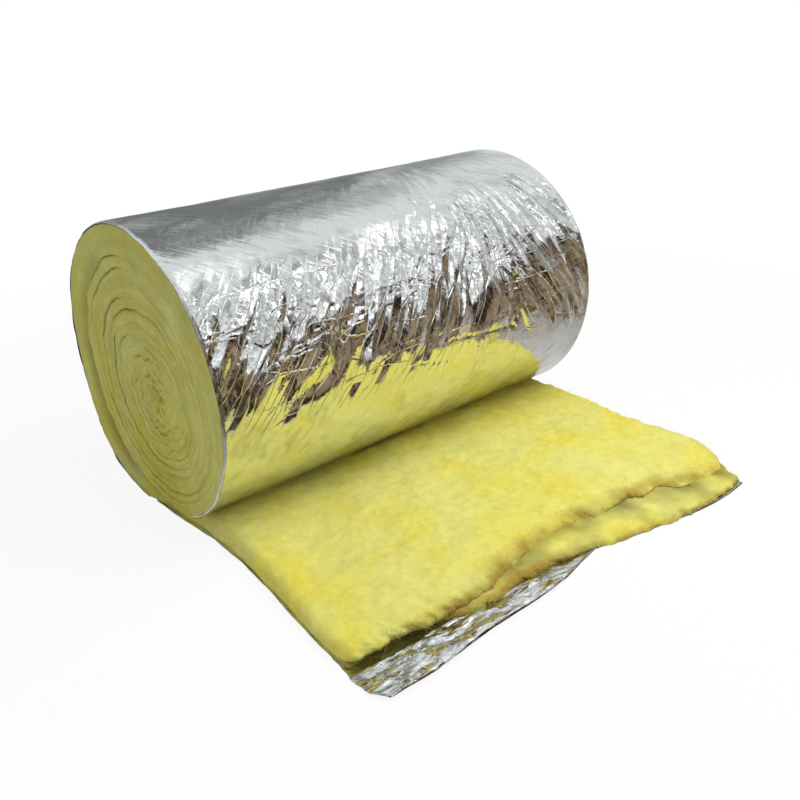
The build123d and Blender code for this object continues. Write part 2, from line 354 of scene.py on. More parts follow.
wrap = np.stack((
    across,
    np.interp(run, fine_run, fine_y) + out_y * height,
    np.maximum(np.interp(run, fine_run, fine_z) + out_z * height, floor_gap),
), -1)
wrap_mesh = creased_mesh(
    "foil_wrap", wrap, seed=1, sharp=9, flat=np.stack((long_way, short_way), -1), creases=strength)
foil_wrap = piece("foil_wrap", wrap_mesh, foil, "foil_facing")


# The wound wool: one long blanket of pale yellow glass wool, squeezed as it was rolled up. Its cut edges
# show on both ends as a spiral of soft turns, with a slack outer turn and a crumpled core.
coil_y, coil_z = -0.018, 0.347
core_y, core_z = -0.052, 0.318
coil_half_depth, coil_half_height = 0.322, 0.316
coil_pitch, core_pitch, clean_turns, core_turns = 0.0255, 0.0250, 8, 3
slack_wool, seam_depth, slack_depth = 0.055, 0.004, 0.014
groove_reach, line_reach, glint_reach = 0.0028, 0.0016, 0.0011
core_depth, cut_back = 0.020, 0.0025
rim_inset, barrel_inset, barrel_end = 0.003, 0.018, 0.570
steps_per_turn, first_turn = 200, 0.97


def seam(turns, seed):
    """A line (y, z) between two turns as it is seen on an end: the outer face first, then the coil inside it."""
    outside_y, outside_z = outer_turn(np.clip(turns, 0, 1), rim_inset)
    wound = np.clip(turns - 1, 0, None)
    taken = coil_pitch * np.minimum(wound, clean_turns) + core_pitch * np.clip(wound - clean_turns, 0, None)
    angle = 2 * np.pi * turns
    crumple = np.clip((wound - 4.5) / 3.5, 0, 1)
    round_u, round_v = 2.0 * np.cos(angle) + 9, 2.0 * np.sin(angle) + 9
    wobble = 0.0060 * hills(round_u, round_v + 0.40 * wound, seed, 3)
    wobble = wobble + crumple * 0.015 * hills(1.5 * round_u, 1.5 * round_v + 0.20 * wound, seed + 1, 3)
    depth = np.maximum(coil_half_depth - taken + wobble, 0.004)
    height = np.maximum(coil_half_height - taken + wobble, 0.004)
    drift = np.clip(wound / clean_turns, 0, 1)
    inside_y = coil_y + (core_y - coil_y) * drift + depth * np.sin(angle)
    inside_z = coil_z + (core_z - coil_z) * drift - height * np.cos(angle)
    blend = np.clip((turns - 0.93) / 0.10, 0, 1)
    blend = blend * blend * (3 - 2 * blend)
    return outside_y * (1 - blend) + inside_y * blend, outside_z * (1 - blend) + inside_z * blend


wool = bpy.data.materials.new("wool")
wool.use_nodes = True
tree = wool.node_tree
add_node, link = tree.nodes.new, tree.links.new
shader = tree.nodes["Principled BSDF"]
shader.inputs["Roughness"].default_value = 0.95
shader.inputs["Specular IOR Level"].default_value = 0.06
shader.inputs["Sheen Weight"].default_value = 0.08
shader.inputs["Sheen Roughness"].default_value = 0.6
place = add_node("ShaderNodeTexCoord")
# Clouds of paler and deeper binder, broken up by the flock
clouds = add_node("ShaderNodeTexNoise")
clouds.inputs["Scale"].default_value = 4.6
clouds.inputs["Detail"].default_value = 4.0
clouds.inputs["Roughness"].default_value = 0.55
clouds.inputs["Distortion"].default_value = 0.6
binder = add_node("ShaderNodeValToRGB")
binder.color_ramp.elements[0].position = 0.40
binder.color_ramp.elements[0].color = (0.76, 0.74, 0.205, 1)
binder.color_ramp.elements[1].position = 0.72
binder.color_ramp.elements[1].color = (0.79, 0.69, 0.085, 1)
flock = add_node("ShaderNodeTexNoise")
flock.inputs["Scale"].default_value = 38.0
flock.inputs["Detail"].default_value = 8.0
flock.inputs["Roughness"].default_value = 0.7
shade = add_node("ShaderNodeMix")
shade.data_type = "RGBA"
shade.blend_type = "MULTIPLY"
shade.inputs["Factor"].default_value = 1.0
depth_ramp = add_node("ShaderNodeValToRGB")
depth_ramp.color_ramp.elements[0].position = 0.25
depth_ramp.color_ramp.elements[0].color = (0.88, 0.865, 0.80, 1)
depth_ramp.color_ramp.elements[1].position = 0.62
depth_ramp.color_ramp.elements[1].color = (1.04, 1.04, 1.06, 1)
# Painted shade in the cracks between the turns, in the slack pocket and under the upper layer's front edge, with a
# darker roll end and duller patches; brown torn edges, partly their own colour and partly painted shade; and glints of
# the foil between the turns
dirt_and_shade = add_node("ShaderNodeAttribute")
dirt_and_shade.attribute_name = "seam"
stain_and_shade = add_node("ShaderNodeMix")
stain_and_shade.data_type = "RGBA"
stain_and_shade.inputs["B"].default_value = (0.050, 0.043, 0.010, 1)
torn = add_node("ShaderNodeAttribute")
torn.attribute_name = "torn"
amber_and_shade = add_node("ShaderNodeMix")
amber_and_shade.data_type = "RGBA"
amber_and_shade.inputs["B"].default_value = (0.38, 0.250, 0.038, 1)
bare_foil = add_node("ShaderNodeAttribute")
bare_foil.attribute_name = "bare_foil"
glint = add_node("ShaderNodeMix")
glint.data_type = "RGBA"
glint.inputs["B"].default_value = (0.88, 0.89, 0.88, 1)
# The fuzz of single fibres
fibre = add_node("ShaderNodeTexNoise")
fibre.inputs["Scale"].default_value = 260.0
fibre.inputs["Detail"].default_value = 5.0
fibre.inputs["Roughness"].default_value = 0.75
fuzz = add_node("ShaderNodeBump")
fuzz.inputs["Strength"].default_value = 0.30
fuzz.inputs["Distance"].default_value = 0.004
link(place.outputs["Object"], clouds.inputs["Vector"])
link(place.outputs["Object"], flock.inputs["Vector"])
link(place.outputs["Object"], fibre.inputs["Vector"])
link(clouds.outputs["Fac"], binder.inputs["Fac"])
link(flock.outputs["Fac"], depth_ramp.inputs["Fac"])
link(binder.outputs["Color"], shade.inputs["A"])
link(depth_ramp.outputs["Color"], shade.inputs["B"])
link(shade.outputs["Result"], stain_and_shade.inputs["A"])
link(dirt_and_shade.outputs["Fac"], stain_and_shade.inputs["Factor"])
link(stain_and_shade.outputs["Result"], amber_and_shade.inputs["A"])
link(torn.outputs["Fac"], amber_and_shade.inputs["Factor"])
link(amber_and_shade.outputs["Result"], glint.inputs["A"])
link(bare_foil.outputs["Fac"], glint.inputs["Factor"])
link(glint.outputs["Result"], shader.inputs["Base Color"])
link(bare_foil.outputs["Fac"], shader.inputs["Metallic"])
link(fibre.outputs["Fac"], fuzz.inputs["Height"])
link(fuzz.outputs["Normal"], shader.inputs["Normal"])


def wound_end(side, seed):
    """One end of the roll: a ribbon of wool wound inwards, with fine grooves between its turns and a full core."""
    count = (1 + clean_turns + core_turns) * steps_per_turn
    along = np.arange(count) / steps_per_turn
    share = np.array((0, 0.02, 0.05, 0.10, 0.19, 0.34, 0.50, 0.66, 0.81, 0.90, 0.95, 0.98))
    out_y, out_z = seam(along, seed)
    in_y, in_z = seam(along + 1, seed)
    begun = np.clip(along / lift_turns, 0.02, 1)
    out_y, out_z = in_y + (out_y - in_y) * begun, in_z + (out_z - in_z) * begun
    gap = np.hypot(in_y - out_y, in_z - out_z)[:, None]
    slack = np.clip((gap - slack_wool - 0.012) / 0.03, 0, 1) * (along < 1)[:, None]
    loose = np.concatenate((np.zeros(steps_per_turn), slack[:, 0]))[:count]
    from_out, from_in = share * gap, (1 - share) * gap
    deep_out = seam_depth * (along > first_turn) + (slack_depth - seam_depth) * loose
    deep_in = seam_depth + (slack_depth - seam_depth) * slack[:, 0]
    shown = np.clip(0.25 + 1.5 * hills(along * 7, 0 * along + 7, seed + 4, 3), 0, 1)
    shown_in = np.concatenate((shown[steps_per_turn:], shown[-steps_per_turn:]))
    groove_out = np.exp(-from_out / groove_reach) * (deep_out * (0.2 + 0.8 * shown))[:, None]
    pocket = np.clip((from_out - slack_wool + 0.012) / 0.022, 0, 1)
    pocket = pocket * pocket * (3 - 2 * pocket)
    groove_in = np.exp(-from_in / groove_reach) * (0.2 + 0.8 * shown_in)[:, None] * (1 - slack) + pocket * slack
    y = out_y[:, None] * (1 - share) + in_y[:, None] * share
    z = out_z[:, None] * (1 - share) + in_z[:, None] * share
    stepped = 0.0020 * hills(along[:, None] * 1.3 + 0 * share, 0 * y + 2, seed + 2, 2)
    rough = 0.0022 * hills(y * 45, z * 45, seed + 3, 3)
    dish = 0.006 * np.clip(1 - np.hypot(y - core_y, z - core_z) / 0.30, 0, 1)
    uneven = (stepped + rough) * np.clip((from_out + (along > first_turn)[:, None]) / 0.02, 0.2, 1)
    sunk = np.maximum(groove_out, groove_in * deep_in[:, None]) + uneven + dish + cut_back
    x = side * (roll_half_width - np.clip(sunk, -0.004, None))
    across_turn = len(share)
    index = np.arange(count * across_turn).reshape(count, across_turn)
    inner_edge = np.concatenate((index[steps_per_turn:, 0], np.full(steps_per_turn, count * across_turn)))
    index = np.concatenate((index, inner_edge[:, None]), 1)
    core = (side * (roll_half_width - core_depth), core_y, core_z)
    points = np.concatenate((np.stack((x, y, z), -1).reshape(-1, 3), [core]))
    quads = np.stack((index[:-1, :-1], index[1:, :-1], index[1:, 1:], index[:-1, 1:]), -1).reshape(-1, 4)
    faces = [[int(n) for n in dict.fromkeys(q)] for q in (quads if side > 0 else quads[:, ::-1])]
    # Dark lines in the cracks between the turns, stronger towards the back, and a darker slack pocket: painted shade
    line = np.maximum(
        np.exp(-from_out / line_reach) * shown[:, None], np.exp(-from_in / line_reach) * shown_in[:, None])
    rearward = np.clip(0.50 + (y - core_y) / 0.28, 0.20, 1)
    mark = line * rearward * np.clip(along[:, None] - 0.2, 0, 1) + 0.40 * pocket * slack
    # The whole end is darkened a little, in patches and in streaks along the turns
    darker_end = 0.15 + 0.05 * hills(y * 14, z * 14, seed + 6, 3)
    darker_end += 0.09 * hills(along[:, None] * 6 + 0 * share, (along[:, None] + share) * 4, seed + 7, 2)
    mark = np.append(np.clip(darker_end + mark * 0.8, 0, 0.94), 0.3)
    wound_on = along[:, None] % 1
    bare = np.exp(-from_out / glint_reach) * np.exp(-((wound_on - 0.62) / 0.045) ** 2)
    in_places = hills(along[:, None] * 11 + 0 * share, 0 * y + 3, seed + 5, 2) > 0.1
    bare = 1.6 * bare * ((along > 1) & (along < 4))[:, None] * in_places
    bare = np.append(np.clip(bare, 0, 1), 0)
    return points, [f for f in faces if len(f) > 2], mark, bare, index[: steps_per_turn + 1, 0]


near_points, near_faces, near_mark, near_bare, near_rim = wound_end(-1, 41)
far_points, far_faces, far_mark, far_bare, far_rim = wound_end(1, 61)
near_count = len(near_points)
hidden_y, hidden_z = outer_turn(np.arange(steps_per_turn + 1) / steps_per_turn, barrel_inset)
hidden = [(x, y, z) for x in (-barrel_end, barrel_end) for y, z in zip(hidden_y, hidden_z)]
hidden_first = near_count + len(far_points)
rings = np.stack((
    near_rim, hidden_first + np.arange(steps_per_turn + 1),
    hidden_first + steps_per_turn + 1 + np.arange(steps_per_turn + 1), far_rim + near_count,
))
barrel = np.stack((rings[:-1, :-1], rings[:-1, 1:], rings[1:, 1:], rings[1:, :-1]), -1).reshape(-1, 4).tolist()
roll_mesh = bpy.data.meshes.new("wool_roll")
roll_mesh.from_pydata(
    np.concatenate((near_points, far_points, hidden)).tolist(), [],
    near_faces + [[n + near_count for n in f] for f in far_faces] + barrel)
roll_mesh.shade_smooth()
for mark, shown in (("seam", (near_mark, far_mark)), ("bare_foil", (near_bare, far_bare))):
    shown = np.concatenate((*shown, np.zeros(len(hidden))))
    roll_mesh.attributes.new(mark, "FLOAT", "POINT").data.foreach_set("value", shown)
wool_roll = piece("wool_roll", roll_mesh, wool, "wool_blanket")


# The tongue's upper layer: the free end of the same blanket, lying wool upwards. Nothing squeezes it, so it
# has sprung back to its full thickness. Its front edge was torn by hand and its sides were cut at the factory.
tongue_top, lip_top, facing = 0.047, 0.017, 0.0015
tongue_width, tongue_length, thin_reach = 1.18, 0.89, 0.11
front_left, front_width = -0.60, 1.16
upper_left = np.array((
    (-0.596, 0.06), (-0.592, -0.08), (-0.583, -0.20), (-0.583, -0.28), (-0.590, -0.40), (-0.606, -0.54),
    (-0.624, -0.68), (-0.630, -0.76), (-0.628, -0.83),
))
upper_right = np.array((
    (0.596, 0.06), (0.594, -0.08), (0.598, -0.27), (0.583, -0.42), (0.558, -0.55), (0.562, -0.63),
    (0.586, -0.72), (0.580, -0.79), (0.552, -0.84), (0.500, -0.90),
))
upper_front = np.array((
    (-0.64, -0.806), (-0.592, -0.812), (-0.557, -0.813), (-0.524, -0.804), (-0.476, -0.813), (-0.452, -0.824),
    (-0.384, -0.823), (-0.330, -0.832), (-0.285, -0.826), (-0.212, -0.812), (-0.130, -0.796), (-0.059, -0.785),
    (0.003, -0.783), (0.062, -0.787), (0.100, -0.806), (0.159, -0.803), (0.219, -0.804), (0.259, -0.820),
    (0.333, -0.822), (0.379, -0.862), (0.445, -0.872), (0.508, -0.878), (0.60, -0.880),
))
upper_edge = np.array(((-0.64, 1.0), (-0.40, 1.0), (-0.22, 0.50), (0.10, 0.42), (0.36, 0.26), (0.60, 0.22)))
upper_stain = np.array((
    (-0.64, 0.03), (-0.40, 0.08), (-0.25, 0.50), (-0.05, 0.85), (0.20, 0.75), (0.42, 0.95), (0.60, 0.35),
))
# How much painted shade darkens the bottom of a layer's torn front, by x
low_edge_shade = np.array(((-0.50, 0), (-0.40, 0.9), (0.40, 0.9), (0.55, 0)))


def edge_shares(step, length, rounding):
    """Shares from 0 to 1 along a length, closer together where the layer rounds off at its two edges."""
    close = np.array((0, 0.04, 0.12, 0.25, 0.45, 0.70)) * rounding / length
    middle = np.linspace(rounding / length, 1 - rounding / length, max(2, round((length - 2 * rounding) / step)))
    return np.concatenate((close, middle, 1 - close[::-1]))


def wool_layer(
        name, left, right, front, start, low, high, rounding, corner, step, seed, ragged, stain_and_shade, dirt_and_shade, edge_share):
    """A layer of wool lying flat: a soft uneven top that rounds off at torn edges, closed underneath.

    It runs from start, under the roll, to its torn front, and from low to high. stain_and_shade holds how brown the
    front is, by x, partly its own browning and partly painted shade, edge_share what share of its thickness is left
    there, and dirt_and_shade how much the whole layer is darkened, with painted shade added near the upper layer's
    front edge.
    """
    s = edge_shares(step, tongue_width, rounding)
    t = edge_shares(step, tongue_length, rounding)
    t = np.concatenate(([0.0, 0.001], t[6:]))
    s, t = np.meshgrid(s, t, indexing="ij")
    guess = front_left + front_width * s
    front_y = np.interp(guess, front[:, 0], front[:, 1])
    tufts = hills(guess * 26, guess * 0 + 1, seed, 3) * 0.8 + 0.5 * hills(guess * 95, guess * 0, seed + 1, 2)
    front_y = front_y - ragged * tufts
    y = start + (front_y - start) * t
    x_left = np.interp(-y, -left[:, 1], left[:, 0]) + 0.5 * ragged * hills(y * 17, y * 0 + 4, seed + 2, 3)
    x_right = np.interp(-y, -right[:, 1], right[:, 0]) + ragged * hills(y * 40, y * 0 + 8, seed + 3, 3)
    near_front = np.clip(1 - (y - front_y) / corner, 0, 1)
    x_left = x_left + corner * (1 - np.sqrt(1 - 0.98 * near_front ** 2))
    x = x_left * (1 - s) + x_right * s
    from_left, from_right = (x - x_left) / rounding, (x_right - x) / rounding
    from_front = (y - front_y) / rounding
    nearest = np.clip(np.minimum(np.minimum(from_left, from_right), from_front), 0, 1)
    crown = np.sqrt(np.clip(1 - (1 - nearest) ** 2, 0, 1)) * (t > 0)
    soft = 0.0070 * hills(x * 5.2, y * 5.2, seed + 4, 2) + 0.0036 * hills(x * 19, y * 19, seed + 5, 2)
    soft += 0.0015 * hills(x * 85, y * 85, seed + 6, 3)
    left_at_front = np.interp(x, edge_share[:, 0], edge_share[:, 1])
    thinned = left_at_front + (1 - left_at_front) * np.clip((y - front_y) / thin_reach, 0, 1) ** 0.7
    top = (high - low) * thinned + soft * np.clip((high - low) / 0.03, 0, 1)
    under_y, under_z = outer_turn(np.linspace(0.90, 1.0, 200))
    top = np.minimum(top, np.where(y > under_y[0], np.interp(y, under_y, under_z), 1) - low + 0.002)
    z = low + np.maximum(top, 0.002) * crown
    edge = (1 - nearest) * np.clip(crown * 3, 0, 1) * ragged
    at_side = np.where(np.minimum(from_left, from_right) < from_front, 1, 0.3)
    x = x + edge * 0.8 * hills(z * 150, y * 60, seed + 7, 2) * at_side
    y = y + edge * 1.1 * hills(x * 60, z * 150, seed + 8, 2)
    mesh = creased_mesh(name, np.stack((x, y, z), -1)[::-1], seed, closed=True)
    # Brown torn edges, partly their own colour; the bottom of the front edge and the lip under the upper layer get
    # painted shade
    near_edge = np.clip(1.25 - np.minimum(from_front, 1.3 * from_right) / 1.1, 0, 1)
    shade_low_on_edge = np.clip(1.15 - from_front / 0.55, 0, 1) * np.interp(x, low_edge_shade[:, 0], low_edge_shade[:, 1])
    browned_and_shaded = np.maximum(np.interp(x, stain_and_shade[:, 0], stain_and_shade[:, 1]) * near_edge, shade_low_on_edge)
    browned_and_shaded = np.clip(browned_and_shaded * (0.75 + 0.6 * hills(x * 24, y * 24, seed + 9, 3)), 0, 0.9)
    mesh.attributes.new("torn", "FLOAT", "POINT").data.foreach_set("value", browned_and_shaded[::-1].ravel())
    # Duller patches, plus painted shade near and under the upper layer's front edge
    shade_by_upper_edge = np.clip(1 - (np.interp(x, upper_front[:, 0], upper_front[:, 1]) - y) / 0.05, 0, 1)
    dulled_and_shaded = np.clip(dirt_and_shade * (1 + 1.6 * hills(x * 16, y * 16, seed + 10, 3) + 1.8 * shade_by_upper_edge), 0, 0.8)
    mesh.attributes.new("seam", "FLOAT", "POINT").data.foreach_set("value", dulled_and_shaded[::-1].ravel())
    return mesh, x, y, z


upper_mesh, *upper_grid = wool_layer(
    "wool_tongue", upper_left, upper_right, upper_front, start=0.080, low=lip_top, high=tongue_top, rounding=0.030,
    corner=0.035, step=0.0056, seed=71, ragged=0.004, stain_and_shade=upper_stain, dirt_and_shade=0.015, edge_share=upper_edge)
tongue = piece("wool_tongue", upper_mesh, wool, "wool_blanket")


# The tongue's lower layer: the wool next to the foil. It stayed on the foil when the upper layer tore away,
# so it sticks out as a thin fibrous lip on the right, and is drawn back under the upper layer on the left.
lower_left = upper_left + (0.002, 0)
lower_right = np.array((
    (0.596, 0.06), (0.594, -0.08), (0.599, -0.27), (0.585, -0.42), (0.561, -0.55), (0.566, -0.63),
    (0.594, -0.72), (0.588, -0.79), (0.562, -0.84), (0.527, -0.88), (0.508, -0.940),
))
# How brown the lip's front is, by x: on the left mostly painted shade, where the upper layer overhangs it
lower_stain_and_shade = np.array(((-0.64, 1.1), (-0.18, 1.1), (-0.05, 0.55), (0.10, 0.30), (0.35, 0.20), (0.60, 0.10)))
lower_front = np.array((
    (-0.64, -0.803), (-0.585, -0.797), (-0.53, -0.780), (-0.47, -0.790), (-0.40, -0.818), (-0.32, -0.842),
    (-0.25, -0.852), (-0.18, -0.842), (-0.102, -0.850), (-0.05, -0.853), (0.001, -0.858), (0.046, -0.872),
    (0.121, -0.894), (0.175, -0.905), (0.285, -0.928), (0.372, -0.939), (0.438, -0.941), (0.499, -0.936),
    (0.60, -0.93),
))
lower_edge = np.array(((-0.64, 1.0), (0.60, 1.0)))
lower_mesh, *lower_grid = wool_layer(
    "wool_lip", lower_left, lower_right, lower_front, start=0.050, low=facing, high=lip_top + 0.002, rounding=0.016,
    corner=0.010, step=0.0080, seed=91, ragged=0.004, stain_and_shade=lower_stain_and_shade, dirt_and_shade=0.16, edge_share=lower_edge)
lip = piece("wool_lip", lower_mesh, wool, "wool_blanket")


# The loose fibres along the torn edges: single strands of glass that were pulled out when the blanket was torn.
# They stand out from the front and the right of both layers, and hang down in front of the hollow under the upper one.
strand_width, strand_joints = 0.0007, 4


def strands(grid, count, rows_back, seed, reach, droop):
    """Points and faces of thin curled ribbons rooted along the torn front and right of a layer."""
    rng = np.random.default_rng(seed)
    x, y, z = grid
    at_front = rng.random(count) < 0.75
    rows, cols = x.shape
    i = np.where(at_front, rng.integers(6, rows - 6, count), rows - 1 - rng.integers(1, rows_back, count))
    j = np.where(
        at_front, cols - 1 - rng.integers(1, rows_back, count), rng.integers(cols // 3, cols - 4, count))
    root = np.stack((x[i, j], y[i, j], z[i, j]), -1)
    way = np.where(at_front[:, None], (0.0, -0.8, droop), (0.8, -0.2, droop)) + rng.normal(0, 0.55, (count, 3))
    way /= np.linalg.norm(way, axis=1)[:, None]
    curl = rng.normal(0, 0.9, (count, 3))
    length = reach * rng.uniform(0.35, 1.25, count)[:, None]
    sideways = np.cross(way, rng.normal(0, 1, (count, 3)))
    sideways *= strand_width / 2 / np.linalg.norm(sideways, axis=1)[:, None]
    points = []
    for share in np.linspace(0, 1, strand_joints):
        middle = root + length * (share * way + share ** 2 * 0.5 * curl)
        points += [middle - sideways * (1.1 - share), middle + sideways * (1.1 - share)]
    points = np.stack(points, 1)
    points[..., 2] = np.maximum(points[..., 2], 0.0012)
    first = 2 * strand_joints * np.arange(count)[:, None] + 2 * np.arange(strand_joints - 1)
    return points.reshape(-1, 3), np.stack((first, first + 1, first + 3, first + 2), -1).reshape(-1, 4)


front_points, front_faces = strands(upper_grid, count=2600, rows_back=9, seed=101, reach=0.016, droop=-0.35)
lip_points, lip_faces = strands(lower_grid, count=1800, rows_back=8, seed=102, reach=0.012, droop=0.0)
fibre_mesh = bpy.data.meshes.new("wool_fibres")
fibre_mesh.from_pydata(
    np.concatenate((front_points, lip_points)).tolist(), [],
    np.concatenate((front_faces, lip_faces + len(front_points))).tolist())
fibre_mesh.shade_smooth()
piece("wool_fibres", fibre_mesh, wool, "wool_blanket")


# The foil under the tongue: it runs on past the torn wool, and its front was folded back over itself in a
# hem that narrows to the right. Its raw cut edge lies on top, and the loose strip is badly crumpled.
sheet_left = np.array((
    (-0.594, 0.10), (-0.590, -0.08), (-0.580, -0.22), (-0.584, -0.40), (-0.602, -0.55), (-0.622, -0.70),
    (-0.632, -0.79), (-0.639, -0.83), (-0.639, -0.88), (-0.617, -0.925),
))
sheet_right = np.array((
    (0.600, 0.10), (0.596, -0.06), (0.602, -0.27), (0.587, -0.42), (0.563, -0.55), (0.566, -0.63),
    (0.590, -0.72), (0.584, -0.79), (0.558, -0.85), (0.523, -0.89), (0.505, -0.95),
))
fold_line = np.array((
    (-0.66, -0.915), (-0.616, -0.918), (-0.531, -0.922), (-0.447, -0.915), (-0.357, -0.907), (-0.271, -0.908),
    (-0.178, -0.906), (-0.118, -0.896), (-0.05, -0.880), (0.001, -0.869), (0.046, -0.881), (0.121, -0.902),
    (0.175, -0.913), (0.285, -0.936), (0.372, -0.946), (0.438, -0.948), (0.52, -0.940),
))
hem_width = np.array((
    (-0.66, 0.100), (-0.587, 0.094), (-0.513, 0.088), (-0.409, 0.082), (-0.302, 0.069), (-0.252, 0.063),
    (-0.183, 0.042), (-0.142, 0.020), (-0.10, 0.008), (0.0, 0.004), (0.6, 0.003),
))
fold_radius, flap_cells, sheet_start, sheet_lift = 0.0055, 2.3, 0.09, 0.0009
fold_left, fold_width, full_hem = -0.635, 1.14, 0.03
s = np.linspace(0, 1, 236)
flat_t = np.concatenate((np.linspace(0, 0.80, 22)[:-1], np.linspace(0.80, 1, 34)))
bend_t = np.linspace(0, 1, 9)[1:]
hem_t = np.linspace(0, 1, 26)[1:]
guess = fold_left + fold_width * s
fold_y = np.interp(guess, fold_line[:, 0], fold_line[:, 1])
hem = np.interp(guess, hem_width[:, 0], hem_width[:, 1])
raw = hem + 0.004 * hills(guess * 24, guess * 0 + 5, 13, 3) * np.clip(hem / full_hem, 0, 1)
radius = fold_radius * (0.65 + 0.35 * hills(guess * 9, guess * 0 + 2, 14, 2)) * np.clip(0.35 + hem / full_hem, 0, 1)
flat_y = sheet_start + (fold_y[:, None] - sheet_start) * flat_t[None, :]
bend_angle = np.pi * bend_t[None, :]
bend_y = fold_y[:, None] - 0.7 * radius[:, None] * np.sin(bend_angle)
bend_z = 0.35 * radius[:, None] * (1 - np.cos(bend_angle))
hem_y = fold_y[:, None] + np.maximum(raw, 0.002)[:, None] * hem_t[None, :]
hump = 0.7 + 4.6 * hem_t[None, :] * (1 - hem_t[None, :]) ** 3 - 0.1 * hem_t[None, :]
hem_z = radius[:, None] * hump
y = np.concatenate((flat_y, bend_y, hem_y), 1)
pinched = np.clip(s / 0.035, 0.1, 1)[:, None]
z = np.concatenate((0 * flat_y, bend_z, hem_z * pinched), 1) + sheet_lift
x_left = np.interp(-y, -sheet_left[:, 1], sheet_left[:, 0]) + 0.003 * hills(y * 30, y * 0 + 1, 15, 3)
x_right = np.interp(-y, -sheet_right[:, 1], sheet_right[:, 0]) + 0.003 * hills(y * 40, y * 0 + 6, 16, 3)
x = x_left * (1 - s[:, None]) + x_right * s[:, None]
wool_front = np.interp(x, upper_front[:, 0], upper_front[:, 1])
bare = np.clip((wool_front + 0.03 - y) / 0.04, 0, 1)
bare = np.maximum(bare, np.clip((fold_y[:, None] + 0.02 - y) / 0.03, 0, 1))
layer = np.concatenate((0 * flat_y, 0 * bend_z + bend_t[None, :], 0 * hem_y + 1), 1)
shift = 3.0 * layer
crumple = 0.0050 * (facets(x / 0.060 + shift + y / 0.09, y / 0.030, 24) + 0.5)
crumple += 0.0022 * facets(x / 0.030 - shift, y / 0.014, 25)
on_hem = (0.08 + 0.92 * layer) * np.clip(hem / full_hem + 0.3, 0.3, 1)[:, None]
z = z + bare * np.clip(crumple, -0.001, 0.02) * on_hem * pinched
lifted = np.clip(wool_front + 0.02 - y, 0, None)
z = np.maximum(z + 0.06 * lifted * np.clip(hem / full_hem, 0, 1)[:, None], floor_gap)
run = np.concatenate((0 * y[:, :1], np.cumsum(np.hypot(np.diff(y, axis=1), np.diff(z, axis=1)), 1)), 1)
# The last row, the raw cut edge, is darkened in places: its own brown and painted shadow
edge = np.zeros(x.shape)
edge[:, -1] = np.clip(0.75 + 0.9 * hills(guess * 60, guess * 0 + 9, 17, 2), 0, 1) * np.clip(hem / 0.02 - 0.5, 0, 1)
flap_mesh = creased_mesh(
    "foil_flap", np.stack((x, y, z), -1)[::-1], seed=2, sharp=12, flat=flap_cells * np.stack((x, run), -1)[::-1],
    creases=(0.04 + 0.30 * bare * layer)[::-1])
flap_mesh.attributes.new("cut_edge_and_shadow", "FLOAT", "POINT").data.foreach_set("value", edge[::-1].ravel())
foil_flap = piece("foil_flap", flap_mesh, foil, "foil_facing")


# The stage: a plain white floor that keeps a soft shadow and a wide lamp overhead. Only the bright foil sees the
# two cards: a mottled one all round the object, for the room, and a small bright one at its right, for a window.
floor_reach = 30


def glowing_share(tree):
    """A node value that is 1 where the camera, a mirror or glass looks, and 0 for the light itself."""
    path = tree.nodes.new("ShaderNodeLightPath")
    seen = tree.nodes.new("ShaderNodeMath")
    seen.operation = "MAXIMUM"
    seen_too = tree.nodes.new("ShaderNodeMath")
    seen_too.operation = "MAXIMUM"
    tree.links.new(path.outputs["Is Camera Ray"], seen.inputs[0])
    tree.links.new(path.outputs["Is Glossy Ray"], seen.inputs[1])
    tree.links.new(seen.outputs["Value"], seen_too.inputs[0])
    tree.links.new(path.outputs["Is Transmission Ray"], seen_too.inputs[1])
    return seen_too.outputs["Value"]


def bare_paint(name):
    """A new material with nothing but its output."""
    paint = bpy.data.materials.new(name)
    paint.use_nodes = True
    paint.node_tree.nodes.remove(paint.node_tree.nodes["Principled BSDF"])
    return paint


floor_mesh = bpy.data.meshes.new("floor")
floor_mesh.from_pydata(
    [(x * floor_reach, y * floor_reach, 0) for x, y in ((-1, -1), (1, -1), (1, 1), (-1, 1))], [], [(0, 1, 2, 3)])
floor = bpy.data.objects.new("floor", floor_mesh)
bpy.context.scene.collection.objects.link(floor)
floor_paint = bare_paint("floor")
tree = floor_paint.node_tree
add_node, link = tree.nodes.new, tree.links.new
matt = add_node("ShaderNodeBsdfDiffuse")
matt.inputs["Color"].default_value = (0.86, 0.86, 0.86, 1)
white = add_node("ShaderNodeEmission")
white.inputs["Strength"].default_value = 1.0
spot = add_node("ShaderNodeTexCoord")
reach = add_node("ShaderNodeVectorMath")
reach.operation = "LENGTH"
fade = add_node("ShaderNodeMapRange")
fade.inputs["From Min"].default_value = 1.1
fade.inputs["From Max"].default_value = 2.4
fade.inputs["To Min"].default_value = 0.90
fade.inputs["To Max"].default_value = 1.0
share = add_node("ShaderNodeMath")
share.operation = "MULTIPLY"
both = add_node("ShaderNodeMixShader")
link(glowing_share(tree), share.inputs[0])
link(spot.outputs["Object"], reach.inputs[0])
link(reach.outputs["Value"], fade.inputs["Value"])
link(fade.outputs["Result"], share.inputs[1])
link(share.outputs["Value"], both.inputs["Fac"])
link(matt.outputs["BSDF"], both.inputs[1])
link(white.outputs["Emission"], both.inputs[2])
link(both.outputs["Shader"], tree.nodes["Material Output"].inputs["Surface"])
floor_mesh.materials.append(floor_paint)

